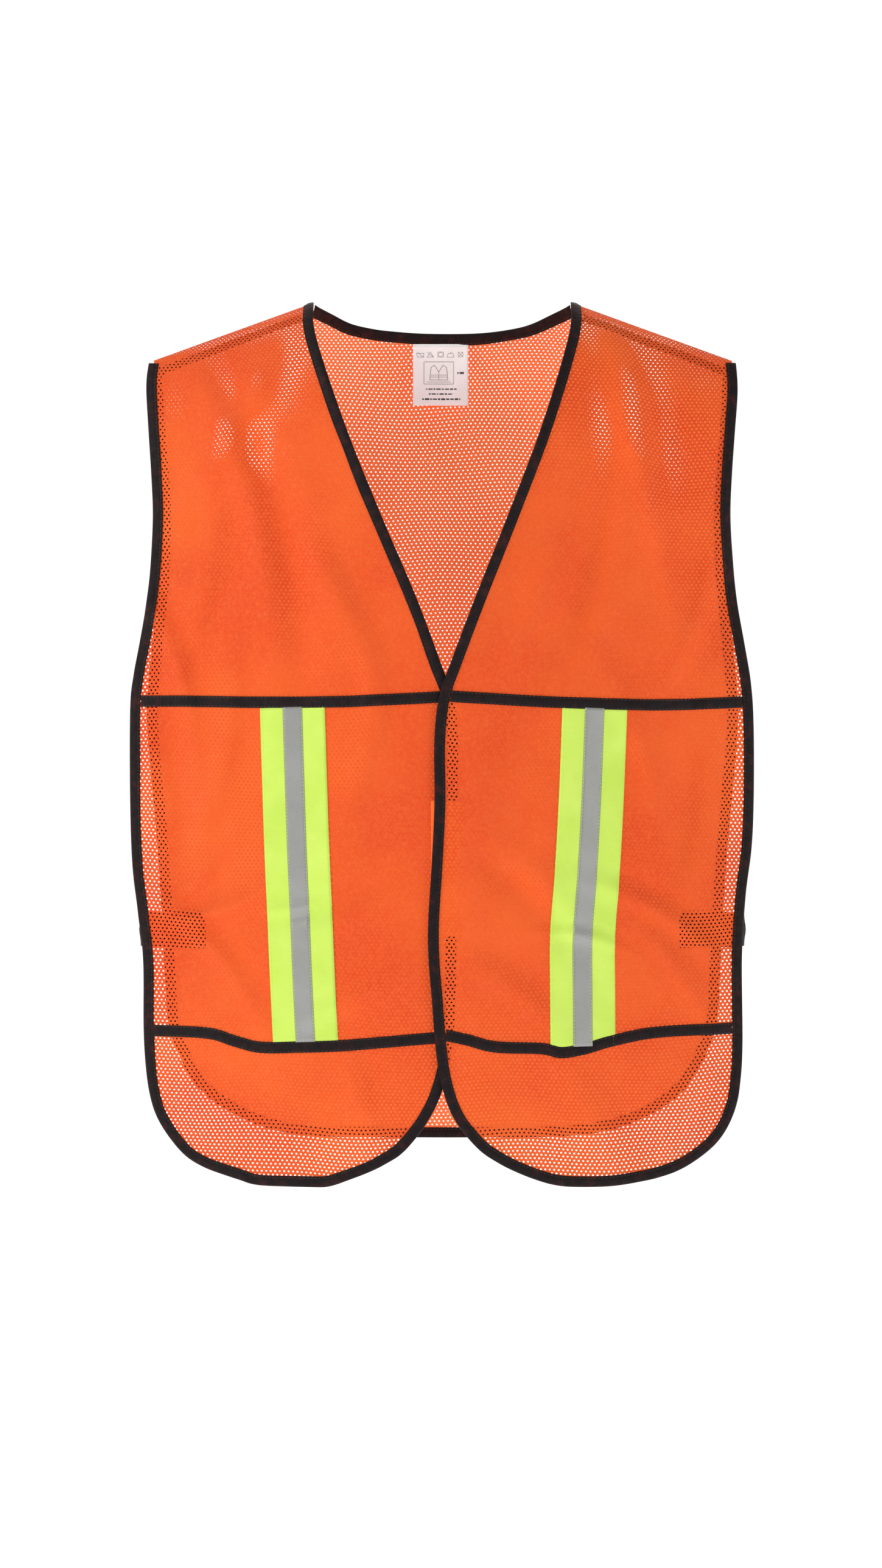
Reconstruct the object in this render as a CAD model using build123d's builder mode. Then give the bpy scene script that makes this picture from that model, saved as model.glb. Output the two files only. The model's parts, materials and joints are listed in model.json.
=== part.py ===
from build123d import *

import os
from math import sqrt

os.makedirs("parts", exist_ok=True)

# A sleeveless mesh safety vest in millimetres, as it hangs on a wearer's shoulders.
# X runs to the wearer's left, which is the viewer's right. -Y is the front, +Z is up.
# The origin is midway between the two neck points, at the height of the shoulder seams.
# Sketches measure heights from the front hem. "Right" and "left" are as the viewer sees them.

# Body of the vest
neck_height = 696.0        # front hem up to the shoulder seam at the neck
neck_half = 102.0          # centre to the neck end of a shoulder seam
tip_half = 233.0           # centre to the outer end of a shoulder seam
shoulder_drop = 47.0       # fall of a shoulder seam from neck to tip
side_depth = 22.0          # side edge of either half to the middle plane
front_crown = 73.0         # extra depth of the front over the chest
back_crown = 53.0          # extra depth of the back
front_arch = 150.0         # height over which the front rounds over the shoulder
back_arch = 120.0          # the same for the back

# Outline of a front, as seen from the front
chest_half = 246.0         # half width at the widest place
chest_height = 372.0
below_chest_height = 290.0
arm_half = 227.0           # half width at the narrowest place of the armhole
arm_height = 523.0
waist_half = 235.0         # half width just above the hem corner
waist_height = 174.0
side_corner_width = 102.0  # rounded outer hem corner
side_corner_height = 74.0
front_corner_width = 100.0 # rounded hem corner at the closure
front_corner_height = 130.0
vee_height = 387.0         # height at which the two neck edges cross
vee_slope = 0.335          # how far a neck edge leans out for each millimetre up, low down
neck_low = (23.5, 457.0)   # two places that a neck edge passes on its way up
neck_high = (76.0, 592.0)
lap_width = 19.0           # width of cloth that laps at the closure
lap_centre = 2.5

# Outline of the back
back_chest_half = 237.0
back_low_half = 231.0
back_waist_half = 223.0
back_waist_height = 128.0
back_hem_height = 24.0
back_corner_width = 112.0
back_corner_height = 86.0
back_neck_height = 677.0   # top of the collar edge at the middle of the back
back_neck_flat = 50.0      # half width of its nearly level middle

# Cloth and trimmings
mesh_thickness = 0.7
binding_flap = 0.5         # one face of the folded edge binding
binding_width = 8.0
edge_cover = 1.0           # binding beyond the cut edge of the mesh
cross_tape_height = 8.8
cross_tape_thickness = 0.5
chest_tape_height = 378.0
waist_tape_height = 111.0
tape_width = 51.0
tape_thickness = 0.4
tape_top_centre = 118.0    # middle of a front colour tape at its top end
tape_foot_centre = 108.0
back_tape_top_centre = 109.0
back_tape_foot_centre = 103.0
silver_width = 15.0
silver_thickness = 0.2
seam_gap = 0.3             # gap between trimmings that meet end to end
seam_tape_width = 14.0
seam_tape_thickness = 0.5
seam_tape_gap = 1.5        # from the end of the seam tape to the armhole binding

# Closure
strip_width = 20.0
strip_length = 105.0
strip_foot_height = 195.0
strip_thickness = 0.8
closure_gap = 0.3          # left between the two strips of the closure
lift_start = 18.0          # the upper front is lifted up to here
lift_end = 62.0            # and lies on the common surface from here

# Fold along which a front opens, from the neck edge down to the side
fold_top = (84.0, 622.0)
fold_foot = (236.0, 165.0)
fold_gap = 1.0

# Side elastics
elastic_width = 26.0
elastic_thickness = 1.2
elastic_height = 200.0     # middle of the strap
elastic_tab = 50.0         # length sewn inside a front
elastic_back_tab = 30.0    # length sewn inside the back
elastic_clearance = 1.0    # from the bindings' inner faces to the strap
elastic_bulge = 5.0        # how far the strap stands out past the side edge

# Care label
label_width = 45.0
label_length = 50.0
label_thickness = 0.4
label_centre = -1.5
label_clearance = 1.5
label_drop = 8.5           # top of the collar edge down to the label's seam

reach = 160.0              # depth of the cutting prisms, past everything
foot = -20.0               # lowest height of the uncut cloth
head = 60.0                # outlines run this far past the shoulder seam
aside = 400.0              # half width of the cutting shapes, past everything

shoulder_slope = shoulder_drop / (tip_half - neck_half)
lap_lift = mesh_thickness + 2 * binding_flap + 2 * strip_thickness + closure_gap
front_view = Plane(origin=(0, 0, -neck_height), x_dir=(1, 0, 0), z_dir=(0, -1, 0))
upper_edge = lap_centre - lap_width / 2
lower_edge = -lap_centre - lap_width / 2
edge_of = {"right": upper_edge, "left": lower_edge}
stations = {
    "right": (-30, -10, 5, 18, 30, 40, 50, 62, 90, 130, 180, 230, 270),
    "left": (-270, -230, -180, -130, -90, -45, 0, 30),
    "back": (-270, -230, -180, -130, -90, -45, 0, 45, 90, 130, 180, 230, 270),
}


def ridge_height(x):
    """Height of the shoulder line, which rounds off across the open neck."""
    if abs(x) > neck_half:
        return neck_height - shoulder_slope * (abs(x) - neck_half)
    return neck_height + shoulder_slope * (neck_half**2 - x**2) / (2 * neck_half)


def lift_at(x):
    """How far the upper front stands off the common surface near the closure."""
    t = min(max((lift_end - x) / (lift_end - lift_start), 0), 1)
    return lap_lift * t * t * (3 - 2 * t)


def depth_at(side, x):
    """Distance of the mesh's inner face from the middle plane, below the arch."""
    round_off = 1 - (x / chest_half) ** 2
    if side == "back":
        return side_depth + back_crown * round_off
    lift = lift_at(x) if side == "right" else 0
    return side_depth + front_crown * round_off + lift


def cloth_section(side, x, inner, outer):
    """Upright band that one cloth layer cuts in the plane at x."""
    depth = depth_at(side, x)
    arch = back_arch if side == "back" else front_arch
    out = 1 if side == "back" else -1
    ridge = ridge_height(x)
    spring = ridge - arch
    plane = Plane(origin=(x, 0, -neck_height), x_dir=(0, out, 0), z_dir=(out, 0, 0))
    with BuildSketch(plane) as band:
        with BuildLine():
            Line((depth + outer, foot), (depth + outer, spring))
            EllipticalCenterArc((0, spring), depth + outer, arch + outer, 0, arc_size=90)
            Line((0, ridge + outer), (0, ridge + inner))
            EllipticalCenterArc((0, spring), depth + inner, arch + inner, 0, arc_size=90)
            Line((depth + inner, spring), (depth + inner, foot))
            Line((depth + inner, foot), (depth + outer, foot))
        make_face()
    return band.sketch


def cloth_layer(side, inner, outer):
    """Loft one cloth layer of a side into the part being built."""
    loft([cloth_section(side, x, inner, outer) for x in stations[side]])


def cut_to(side, shape):
    """Keep what lies behind a shape drawn in the front view."""
    extrude(shape, amount=-reach if side == "back" else reach, mode=Mode.INTERSECT)


def fold_at(height):
    """Where the fold line is at a height, out from the centre."""
    share = (fold_top[1] - height) / (fold_top[1] - fold_foot[1])
    return fold_top[0] + share * (fold_foot[0] - fold_top[0])


def draw_front(edge, inset=0, mode=Mode.ADD):
    """Draw a front's outline, moved inwards by an inset. It runs on past the shoulder seam."""
    edge_x = edge + inset
    stretch = sqrt(1 + vee_slope**2)
    corner = (edge_x, vee_height + (edge_x - inset * stretch) / vee_slope)
    across = inset / stretch
    along = across * vee_slope
    neck_x = neck_half + inset
    tip_x = tip_half - inset
    side_x = waist_half - inset
    top = neck_height + head
    side_corner = waist_half - side_corner_width
    front_corner = edge + front_corner_width
    with BuildLine() as outline:
        Line((edge_x, front_corner_height), corner)
        Spline(
            corner,
            (neck_low[0] + across, neck_low[1] - along),
            (neck_high[0] + across, neck_high[1] - along),
            (neck_x, top),
            tangents=((vee_slope, 1), (0, 1)),
        )
        Line((neck_x, top), (tip_x, top))
        Spline(
            (tip_x, top),
            (tip_x, neck_height - shoulder_drop),
            (arm_half - inset, arm_height),
            (chest_half - inset, chest_height),
            (chest_half - inset, below_chest_height),
            (waist_half - inset, waist_height),
            (side_x, side_corner_height),
            tangents=((0, -1), (0, -1)),
        )
        EllipticalCenterArc(
            (side_corner, side_corner_height), side_corner_width - inset, side_corner_height - inset, 270
        )
        Line((side_corner, inset), (front_corner, inset))
        EllipticalCenterArc(
            (front_corner, front_corner_height), front_corner_width - inset, front_corner_height - inset, 180
        )
    make_face(outline.edges(), mode=mode)


def draw_back(inset=0, mode=Mode.ADD):
    """Draw the right half of the back's outline, moved inwards by an inset."""
    top = neck_height + head
    collar = back_neck_height - inset
    neck_x = neck_half + inset
    tip_x = tip_half - inset
    side_x = back_waist_half - inset
    hem = back_hem_height + inset
    corner_x = back_waist_half - back_corner_width
    corner_height = back_hem_height + back_corner_height
    with BuildLine() as outline:
        Line((0, hem), (0, collar))
        Line((0, collar), (back_neck_flat, collar))
        Spline((back_neck_flat, collar), (neck_x, top), tangents=((1, 0), (0, 1)))
        Line((neck_x, top), (tip_x, top))
        Spline(
            (tip_x, top),
            (tip_x, neck_height - shoulder_drop),
            (arm_half - inset, arm_height),
            (back_chest_half - inset, chest_height),
            (back_low_half - inset, below_chest_height),
            (back_waist_half - inset, back_waist_height),
            (side_x, corner_height),
            tangents=((0, -1), (0, -1)),
        )
        EllipticalCenterArc(
            (corner_x, corner_height), back_corner_width - inset, back_corner_height - inset, 270
        )
        Line((corner_x, hem), (0, hem))
    make_face(outline.edges(), mode=mode)


def keep_inside(points):
    """Keep what lies inside a polygon in the sketch being drawn."""
    with BuildLine() as border:
        Polyline(points, close=True)
    make_face(border.edges(), mode=Mode.INTERSECT)


def keep_band(middle, height):
    """Keep a level band in the sketch being drawn."""
    low = middle - height / 2
    high = middle + height / 2
    keep_inside([(-aside, low), (aside, low), (aside, high), (-aside, high)])


def keep_portion(portion):
    """Keep the opening or the shoulder side of the fold in a front's sketch."""
    end = -aside if portion == "opening" else aside
    gap = -fold_gap / 2 if portion == "opening" else fold_gap / 2
    high = neck_height + 2 * head
    low = 2 * foot
    points = [(fold_at(high) + gap, high), (fold_at(low) + gap, low), (end, low), (end, high)]
    keep_inside(points)


def front_shape(side, portion, inset, ring=False, band=None):
    """A front's outline, inset or as a ring that wide, on one side of the fold."""
    with BuildSketch(front_view) as shape:
        draw_front(edge_of[side], 0 if ring else inset)
        if ring:
            draw_front(edge_of[side], inset, mode=Mode.SUBTRACT)
        keep_portion(portion)
        if band:
            keep_band(*band)
        if side == "left":
            mirror(about=Plane.YZ, mode=Mode.REPLACE)
    return shape.sketch


def back_shape(inset, ring=False, band=None):
    """The back's outline, inset or as a ring that wide."""
    with BuildSketch(front_view) as shape:
        draw_back(0 if ring else inset)
        if ring:
            draw_back(inset, mode=Mode.SUBTRACT)
        mirror(about=Plane.YZ)
        if band:
            keep_band(*band)
    return shape.sketch


def bar_shape(points, side="right"):
    """A polygon in the front view, mirrored for the left side."""
    with BuildSketch(front_view) as shape:
        with BuildLine() as border:
            Polyline(points, close=True)
        make_face(border.edges())
        if side == "left":
            mirror(about=Plane.YZ, mode=Mode.REPLACE)
    return shape.sketch


def leaning_bar(top_centre, foot_centre, width):
    """Corners of a long bar between the two cross tapes."""
    half_tape = cross_tape_height / 2 + seam_gap
    top = chest_tape_height - half_tape
    low = waist_tape_height + half_tape
    half = width / 2
    return [
        (foot_centre - half, low),
        (foot_centre + half, low),
        (top_centre + half, top),
        (top_centre - half, top),
    ]


def finish(built, name):
    """Name a finished piece and write it out."""
    built.part.label = name
    export_step(built.part, f"parts/{name}.step")


binding_top = mesh_thickness + binding_flap
cross_top = mesh_thickness + cross_tape_thickness
tape_top = mesh_thickness + tape_thickness
trim_inset = binding_width + seam_gap

# The back: mesh, edge binding round the arms and hem, and the collar binding
with BuildPart() as back_panel:
    cloth_layer("back", 0, mesh_thickness)
    cut_to("back", back_shape(edge_cover))
finish(back_panel, "back_panel")

collar_foot = back_neck_height - 2 * binding_width
for name, low, high in (
    ("back_edge_binding", foot, collar_foot),
    ("back_neck_binding", collar_foot, neck_height + 2 * head),
):
    with BuildPart() as back_binding:
        cloth_layer("back", -binding_flap, binding_top)
        band = ((low + high) / 2, high - low)
        cut_to("back", back_shape(binding_width, ring=True, band=band))
        add(back_panel.part, mode=Mode.SUBTRACT)
    finish(back_binding, name)

# Each front, in two portions that meet along the fold on which it opens
front_panels = {}
for side in ("right", "left"):
    for portion in ("opening", "shoulder"):
        with BuildPart() as front_panel:
            cloth_layer(side, 0, mesh_thickness)
            cut_to(side, front_shape(side, portion, edge_cover))
        front_panels[side, portion] = front_panel.part
        finish(front_panel, f"{side}_front_{portion}_panel")

# Edge bindings of the fronts: one along the opening and hem, two short runs past the fold
neck_run = neck_half + 2 * binding_width
for side in ("right", "left"):
    sign = 1 if side == "right" else -1
    with BuildPart() as opening_binding:
        cloth_layer(side, -binding_flap, binding_top)
        cut_to(side, front_shape(side, "opening", binding_width, ring=True))
        add(front_panels[side, "opening"], mode=Mode.SUBTRACT)
    finish(opening_binding, f"{side}_opening_binding")

    for place, near, far in (("neck", 0, neck_run), ("armhole", neck_run, aside)):
        with BuildPart() as edge_binding:
            cloth_layer(side, -binding_flap, binding_top)
            cut_to(side, front_shape(side, "shoulder", binding_width, ring=True))
            add(front_panels[side, "shoulder"], mode=Mode.SUBTRACT)
            top = neck_height + head
            span = bar_shape([(near, foot), (far, foot), (far, top), (near, top)], side)
            cut_to(side, span)
        finish(edge_binding, f"{side}_{place}_binding")

# Cross tapes over the chest and waist, sewn on between the bindings
for side in ("right", "left"):
    for name, portion, height in (
        ("chest_tape", "opening", chest_tape_height),
        ("chest_tape_end", "shoulder", chest_tape_height),
        ("waist_tape", "opening", waist_tape_height),
    ):
        with BuildPart() as cross_tape:
            cloth_layer(side, mesh_thickness, cross_top)
            band = (height, cross_tape_height)
            cut_to(side, front_shape(side, portion, trim_inset, band=band))
        finish(cross_tape, f"{side}_{name}")

for name, height in (("back_chest_tape", chest_tape_height), ("back_waist_tape", waist_tape_height)):
    with BuildPart() as back_cross_tape:
        cloth_layer("back", mesh_thickness, cross_top)
        cut_to("back", back_shape(trim_inset, band=(height, cross_tape_height)))
    finish(back_cross_tape, name)

# Colour tapes with a silver strip down the middle of each
tape_places = (
    ("right", "right", "right_front", tape_top_centre, tape_foot_centre),
    ("left", "left", "left_front", tape_top_centre, tape_foot_centre),
    ("back", "right", "right_back", back_tape_top_centre, back_tape_foot_centre),
    ("back", "left", "left_back", back_tape_top_centre, back_tape_foot_centre),
)
for cloth, side, name, top_centre, foot_centre in tape_places:
    with BuildPart() as colour_tape:
        cloth_layer(cloth, mesh_thickness, tape_top)
        cut_to(cloth, bar_shape(leaning_bar(top_centre, foot_centre, tape_width), side))
    finish(colour_tape, f"{name}_colour_tape")

    with BuildPart() as silver_strip:
        cloth_layer(cloth, tape_top, tape_top + silver_thickness)
        cut_to(cloth, bar_shape(leaning_bar(top_centre, foot_centre, silver_width), side))
    finish(silver_strip, f"{name}_silver_strip")

# Hook and loop strips of the closure: hooks under the upper front, loops on the lower one
strip_top_height = strip_foot_height + strip_length
for side, name, low in (
    ("right", "hook_strip", -binding_flap - strip_thickness),
    ("left", "loop_strip", binding_top),
):
    near = edge_of[side]
    far = near + strip_width
    corners = [
        (near, strip_foot_height),
        (far, strip_foot_height),
        (far, strip_top_height),
        (near, strip_top_height),
    ]
    with BuildPart() as closure_strip:
        cloth_layer(side, low, low + strip_thickness)
        cut_to(side, bar_shape(corners, side))
    finish(closure_strip, name)

# Tapes over the inside of the shoulder seams
for side in ("right", "left"):
    near = neck_half + trim_inset
    far = tip_half - trim_inset - seam_tape_gap
    corners = [
        (near, ridge_height(near) - seam_tape_width),
        (far, ridge_height(far) - seam_tape_width),
        (far, ridge_height(far) + head),
        (near, ridge_height(near) + head),
    ]
    with BuildPart() as seam_tape:
        cloth_layer(side, -seam_tape_thickness, 0)
        cut_to(side, bar_shape(corners, side))
    finish(seam_tape, f"{side}_shoulder_seam_tape")

# Side elastics, from inside each front round the open side to inside the back
elastic_plane = Plane.XY.offset(elastic_height - neck_height - elastic_width / 2)
strap_inset = binding_flap + elastic_clearance + elastic_thickness / 2
front_places = (waist_half - elastic_tab, waist_half - elastic_tab / 2, waist_half)
back_places = (back_waist_half, back_waist_half - elastic_back_tab / 2, back_waist_half - elastic_back_tab)
front_run = [(x, strap_inset - depth_at("left", x)) for x in front_places]
back_run = [(x, depth_at("back", x) - strap_inset) for x in back_places]
for side in ("right", "left"):
    with BuildPart() as elastic:
        with BuildSketch(elastic_plane):
            with BuildLine():
                front_tab = Spline(front_run)
                back_tab = Spline(back_run)
                bend = (waist_half + elastic_bulge, 0)
                Spline(front_tab @ 1, bend, back_tab @ 0, tangents=(front_tab % 1, back_tab % 0))
            trace(line_width=elastic_thickness)
            if side == "left":
                mirror(about=Plane.YZ, mode=Mode.REPLACE)
        extrude(amount=elastic_width)
    finish(elastic, f"{side}_side_elastic")

# Care label, hanging from the collar inside the back
label_seam = back_neck_height - label_drop
drop = ridge_height(0) - label_seam
arch_share = sqrt(1 - (1 - drop / back_arch) ** 2)
label_face = depth_at("back", 0) * arch_share - binding_flap - label_clearance
with BuildPart() as care_label:
    with BuildSketch(Plane.XZ.offset(-label_face)):
        with Locations((label_centre, label_seam - neck_height)):
            Rectangle(label_width, label_length, align=(Align.CENTER, Align.MAX))
    extrude(amount=label_thickness)
finish(care_label, "care_label")
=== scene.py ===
import json
import math

import bpy
import numpy as np
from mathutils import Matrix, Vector, noise

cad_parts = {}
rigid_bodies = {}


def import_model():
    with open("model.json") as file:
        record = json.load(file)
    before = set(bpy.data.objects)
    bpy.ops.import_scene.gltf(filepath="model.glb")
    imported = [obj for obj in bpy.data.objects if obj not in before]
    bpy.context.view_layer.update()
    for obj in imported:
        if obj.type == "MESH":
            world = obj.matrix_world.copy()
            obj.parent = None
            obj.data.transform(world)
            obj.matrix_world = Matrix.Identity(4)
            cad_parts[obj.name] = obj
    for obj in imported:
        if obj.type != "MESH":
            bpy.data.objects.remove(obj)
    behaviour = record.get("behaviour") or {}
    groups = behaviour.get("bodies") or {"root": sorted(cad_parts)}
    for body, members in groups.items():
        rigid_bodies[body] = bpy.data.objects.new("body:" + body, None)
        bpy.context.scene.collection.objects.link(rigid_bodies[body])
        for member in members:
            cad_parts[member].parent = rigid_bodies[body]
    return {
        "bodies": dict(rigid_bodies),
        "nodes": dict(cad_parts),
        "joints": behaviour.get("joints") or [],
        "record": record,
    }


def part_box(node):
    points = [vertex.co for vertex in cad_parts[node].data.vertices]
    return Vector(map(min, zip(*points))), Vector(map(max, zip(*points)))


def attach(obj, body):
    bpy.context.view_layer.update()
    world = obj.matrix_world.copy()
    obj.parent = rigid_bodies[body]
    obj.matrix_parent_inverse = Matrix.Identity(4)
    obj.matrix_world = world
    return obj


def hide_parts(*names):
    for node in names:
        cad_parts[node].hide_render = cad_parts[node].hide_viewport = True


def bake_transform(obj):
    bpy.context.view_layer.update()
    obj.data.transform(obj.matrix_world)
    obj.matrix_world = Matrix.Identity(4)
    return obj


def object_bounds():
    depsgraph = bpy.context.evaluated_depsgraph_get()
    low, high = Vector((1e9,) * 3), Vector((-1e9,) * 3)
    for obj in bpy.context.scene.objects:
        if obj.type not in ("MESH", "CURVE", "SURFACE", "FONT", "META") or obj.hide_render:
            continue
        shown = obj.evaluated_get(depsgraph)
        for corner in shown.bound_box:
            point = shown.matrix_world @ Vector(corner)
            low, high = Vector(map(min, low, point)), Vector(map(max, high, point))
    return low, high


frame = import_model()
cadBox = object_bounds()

# A mesh safety vest that hangs open-bottomed on a wearer's shoulders.
# Places on the cloth are given as (x, height), both from the middle of the front hem, in metres.
# "Right" and "left" are as seen from the front.

hemLevel = cadBox[0][2]  # level of the front hem in the frame, whose origin is at the shoulders

hang = {  # how the cloth hangs on the shoulders
    "neckHalf": 0.102,  # centre to the neck end of a shoulder line
    "tipHalf": 0.233,  # centre to its outer end
    "drop": 0.047,  # fall from neck to tip
    "sideDepth": 0.022,  # side edges to the middle plane
    "frontCrown": 0.073,
    "backCrown": 0.053,
    "frontArch": 0.150,  # height over which the cloth rounds over the shoulder
    "backArch": 0.120,
    "chestHalf": 0.246,
    "lift": 0.0036,  # the upper front stands this far off the lower one at the closure
    "liftStart": 0.018,
    "liftEnd": 0.062,
}
neckHeight = -hemLevel


# the cloth's surface

def ridgeAt(x):
    slope = hang["drop"] / (hang["tipHalf"] - hang["neckHalf"])
    x = np.abs(x)
    neck = hang["neckHalf"]
    outer = neckHeight - slope * (x - neck)
    inner = neckHeight + slope * (neck**2 - x**2) / (2 * neck)
    return np.where(x > neck, outer, inner)


def depthAt(side, x):
    roundOff = 1 - (x / hang["chestHalf"]) ** 2
    if side == "back":
        return hang["sideDepth"] + hang["backCrown"] * roundOff
    depth = hang["sideDepth"] + hang["frontCrown"] * roundOff
    if side == "right":
        t = np.clip((hang["liftEnd"] - x) / (hang["liftEnd"] - hang["liftStart"]), 0, 1)
        depth = depth + hang["lift"] * t * t * (3 - 2 * t)
    return depth


def archOf(side):
    return hang["backArch"] if side == "back" else hang["frontArch"]


# Soft folds: (side, x, height, length along, width across, lean in degrees, rise), all but lean in metres
foldList = [
    ("left", -0.165, 0.585, 0.085, 0.013, 30, 0.0050),
    ("left", -0.150, 0.530, 0.110, 0.012, -16, 0.0048),
    ("left", -0.118, 0.485, 0.120, 0.014, -12, -0.0046),
    ("left", -0.190, 0.455, 0.085, 0.010, 16, 0.0042),
    ("left", -0.214, 0.420, 0.060, 0.008, -22, 0.0040),
    ("left", -0.075, 0.445, 0.080, 0.012, -26, 0.0036),
    ("left", -0.060, 0.340, 0.075, 0.012, 14, 0.0034),
    ("left", -0.180, 0.212, 0.042, 0.0065, 72, 0.0050),
    ("left", -0.195, 0.235, 0.038, 0.0060, 46, 0.0038),
    ("left", -0.175, 0.178, 0.060, 0.0080, -40, 0.0036),
    ("left", -0.205, 0.300, 0.085, 0.010, -6, -0.0042),
    ("left", -0.172, 0.330, 0.070, 0.009, 12, 0.0036),
    ("left", -0.056, 0.235, 0.060, 0.009, 58, -0.0036),
    ("left", -0.060, 0.150, 0.060, 0.009, 62, 0.0032),
    ("left", -0.111, 0.2166, 0.030, 0.0045, 80, 0.0022),
    ("left", -0.120, 0.050, 0.060, 0.014, 25, 0.0030),
    ("left", -0.060, 0.060, 0.050, 0.010, -18, 0.0026),
    ("right", 0.150, 0.610, 0.085, 0.013, -14, 0.0046),
    ("right", 0.120, 0.520, 0.120, 0.013, 8, -0.0046),
    ("right", 0.172, 0.500, 0.115, 0.011, -12, 0.0050),
    ("right", 0.205, 0.455, 0.070, 0.009, 18, 0.0042),
    ("right", 0.070, 0.440, 0.080, 0.012, 26, 0.0036),
    ("right", 0.192, 0.300, 0.085, 0.012, 8, -0.0042),
    ("right", 0.160, 0.330, 0.070, 0.010, -16, 0.0036),
    ("right", 0.165, 0.215, 0.055, 0.008, -60, 0.0046),
    ("right", 0.185, 0.165, 0.050, 0.009, -34, 0.0034),
    ("right", 0.060, 0.230, 0.070, 0.011, -48, -0.0040),
    ("right", 0.045, 0.160, 0.060, 0.010, -58, 0.0030),
    ("right", 0.109, 0.1950, 0.032, 0.0045, -78, 0.0024),
    ("right", 0.120, 0.050, 0.065, 0.014, -24, 0.0030),
    ("right", 0.205, 0.090, 0.050, 0.010, 20, 0.0026),
    ("back", -0.120, 0.520, 0.120, 0.020, 10, 0.0050),
    ("back", 0.110, 0.500, 0.130, 0.020, -12, 0.0050),
    ("back", 0.030, 0.560, 0.090, 0.018, -24, 0.0040),
    ("back", -0.035, 0.570, 0.090, 0.018, 20, 0.0040),
    ("back", 0.000, 0.420, 0.120, 0.022, 2, -0.0050),
    ("back", -0.060, 0.220, 0.110, 0.018, 8, 0.0040),
    ("back", 0.075, 0.200, 0.110, 0.018, -9, 0.0040),
    ("back", -0.170, 0.260, 0.100, 0.016, -5, -0.0040),
    ("back", 0.170, 0.270, 0.100, 0.016, 6, -0.0040),
]


def foldAt(side, x, height):
    rise = np.zeros_like(x)
    for where, cx, ch, long, wide, lean, high in foldList:
        if where != side:
            continue
        a = math.radians(lean)
        along = (x - cx) * math.sin(a) + (height - ch) * math.cos(a)
        across = (x - cx) * math.cos(a) - (height - ch) * math.sin(a)
        across = across + 0.12 * along**2 / long
        crest = np.exp(-((across / wide) ** 2)) - 0.45 * np.exp(-(((across - 1.7 * wide) / wide) ** 2))
        rise = rise + high * crest * np.exp(-((along / long) ** 2))
    phase = {"left": 0.4, "right": 1.7, "back": 2.9}[side]
    rise = rise + 0.0007 * np.sin(61 * x + 23 * height + phase) * np.sin(47 * height - 31 * x + 2 * phase)
    seamCalm = np.clip((ridgeAt(x) - height) / 0.05, 0, 1)
    if side == "back":
        return rise * seamCalm
    closeCalm = np.clip((np.abs(x) - 0.012) / 0.045, 0, 1)
    return rise * seamCalm * closeCalm


def settle(side, x, sine, cosine, off):
    # a point of the cloth from its place round the arch
    arch = archOf(side)
    spring = ridgeAt(x) - arch
    out = depthAt(side, x) + off
    height = spring + (arch + off) * sine
    y = out * cosine
    if side != "back":
        y = -y
    return np.stack([x, y, height + hemLevel], axis=-1)


def onCloth(side, x, height, off):
    x, height, off = np.broadcast_arrays(*[np.asarray(part, float) for part in (x, height, off)])
    arch = archOf(side)
    off = off + foldAt(side, x, height)
    up = height - (ridgeAt(x) - arch)
    sine = np.clip(up / (arch + np.maximum(off, 0)), 0, 1)
    points = settle(side, x, sine, np.sqrt(1 - sine**2), off)
    straight = up <= 0
    points[..., 2] = np.where(straight, height + hemLevel, points[..., 2])
    return points


# arc lengths round the arch, so that the knit keeps its pitch over the shoulder
angleSteps = np.linspace(0, math.pi / 2, 241)
depthSteps = np.linspace(0.005, 0.125, 61)


def archTable(arch):
    table, totals = [], []
    share = np.linspace(0, 1, 241)
    for depth in depthSteps:
        speed = np.sqrt((depth * np.sin(angleSteps)) ** 2 + (arch * np.cos(angleSteps)) ** 2)
        reached = np.cumsum((speed[1:] + speed[:-1]) / 2) * (angleSteps[1] - angleSteps[0])
        length = np.concatenate([[0], reached])
        totals.append(length[-1])
        table.append(np.interp(share * length[-1], length, angleSteps))
    return np.array(table), np.array(totals)


archTables = {"front": archTable(hang["frontArch"]), "back": archTable(hang["backArch"])}


def alongCloth(side, x, run):
    # run is the height below the arch, and the distance along the cloth round it
    table, totals = archTables["back" if side == "back" else "front"]
    spring = ridgeAt(x) - archOf(side)
    place = np.clip((depthAt(side, x) - depthSteps[0]) / (depthSteps[1] - depthSteps[0]), 0, 59.999)
    low = place.astype(int)
    part = place - low
    total = totals[low] * (1 - part) + totals[low + 1] * part
    share = np.clip((run - spring) / total, 0, 1) * 240
    step = np.minimum(share.astype(int), 239)
    rest = share - step

    def angleIn(row):
        return table[row, step] * (1 - rest) + table[row, step + 1] * rest

    angle = angleIn(low) * (1 - part) + angleIn(low + 1) * part
    height = np.where(run < spring, run, spring + archOf(side) * np.sin(angle))
    return height, angle, run < spring, spring + total


def smoothLine(points, step=0.004):
    # a smooth line through given points
    p = np.array(points, float)
    p = np.vstack([2 * p[0] - p[1], p, 2 * p[-1] - p[-2]])
    line = []
    for i in range(1, len(p) - 2):
        count = max(1, int(np.linalg.norm(p[i + 1] - p[i]) / step))
        t = (np.arange(count) / count)[:, None]
        a, b, c, d = p[i - 1], p[i], p[i + 1], p[i + 2]
        line.append(
            0.5 * (2 * b + (c - a) * t + (2 * a - 5 * b + 4 * c - d) * t**2 + (3 * b - a - 3 * c + d) * t**3)
        )
    line.append(p[-2][None, :])
    return np.vstack(line)


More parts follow.
